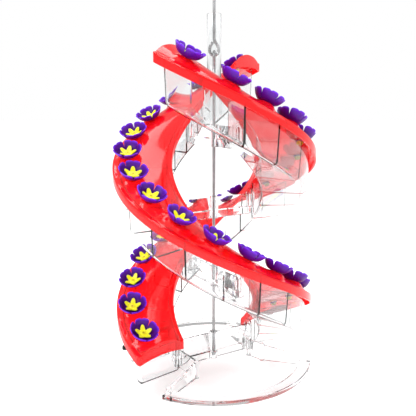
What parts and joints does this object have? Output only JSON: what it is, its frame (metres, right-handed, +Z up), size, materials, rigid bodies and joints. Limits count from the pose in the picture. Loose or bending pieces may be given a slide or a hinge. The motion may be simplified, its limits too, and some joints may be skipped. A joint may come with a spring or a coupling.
{
  "type": "hanging nectar feeder",
  "caption": "Hanging nectar feeder: clear spiral troughs wound round a steel rod, with lift-off red lids carrying violet flower ports, on a clear footed base.",
  "frame": {"origin": "the point inside the top of the hook where the feeder hangs, on the axis of the rods", "axes": "+Z up along the rods, +X to the right and -Y towards the viewer when the hook is seen face on"},
  "size_m": [0.235, 0.2374, 0.4935],
  "materials": {
    "red_lid": "glossy, slightly see-through",
    "clear_plastic": "clear, glossy",
    "violet_plastic": "satin",
    "yellow_plastic": "satin, on the star inserts",
    "steel": "bright drawn wire"
  },
  "bodies": {
    "hanger": {"hanger_rod": "steel"},
    "sleeve": {"link_sleeve": "clear_plastic"},
    "feeder": {"central_rod": "steel", "rod_nut": "steel", "bridge_upper": "clear_plastic", "bridge_middle": "clear_plastic", "bridge_lower": "clear_plastic", "base_stand": "clear_plastic", "trough_a": "clear_plastic", "trough_b": "clear_plastic"},
    "cover_a": {"lid_a": "red_lid", "feeding_port_a_01": "violet_plastic", "feeding_port_a_02": "violet_plastic", "feeding_port_a_03": "violet_plastic", "feeding_port_a_04": "violet_plastic", "feeding_port_a_05": "violet_plastic", "feeding_port_a_06": "violet_plastic", "feeding_port_a_07": "violet_plastic", "feeding_port_a_08": "violet_plastic", "feeding_port_a_09": "violet_plastic", "feeding_port_a_10": "violet_plastic", "feeding_port_a_11": "violet_plastic", "feeding_port_a_12": "violet_plastic", "feeding_port_a_13": "violet_plastic", "feeding_port_a_14": "violet_plastic", "feeding_port_a_15": "violet_plastic", "feeding_port_a_16": "violet_plastic"},
    "cover_b": {"lid_b": "red_lid", "feeding_port_b_01": "violet_plastic", "feeding_port_b_02": "violet_plastic", "feeding_port_b_03": "violet_plastic", "feeding_port_b_04": "violet_plastic", "feeding_port_b_05": "violet_plastic", "feeding_port_b_06": "violet_plastic", "feeding_port_b_07": "violet_plastic", "feeding_port_b_08": "violet_plastic", "feeding_port_b_09": "violet_plastic", "feeding_port_b_10": "violet_plastic", "feeding_port_b_11": "violet_plastic", "feeding_port_b_12": "violet_plastic", "feeding_port_b_13": "violet_plastic", "feeding_port_b_14": "violet_plastic", "feeding_port_b_15": "violet_plastic", "feeding_port_b_16": "violet_plastic"}
  },
  "joints": [
    {"name": "feeder_swing", "type": "hinge", "parent": "hanger", "child": "feeder", "pos_m": [0, 0, -0.12465], "axis": [1, 0, 0], "range_deg": [-6, 6]},
    {"name": "sleeve_lift", "type": "slide", "parent": "hanger", "child": "sleeve", "axis": [0, 0, 1], "range_m": [0, 0.052]},
    {"name": "cover_a_lift", "type": "slide", "parent": "feeder", "child": "cover_a", "axis": [0, 0, 1], "range_m": [0, 0.07]},
    {"name": "cover_b_lift", "type": "slide", "parent": "feeder", "child": "cover_b", "axis": [0, 0, 1], "range_m": [0, 0.07]}
  ]
}
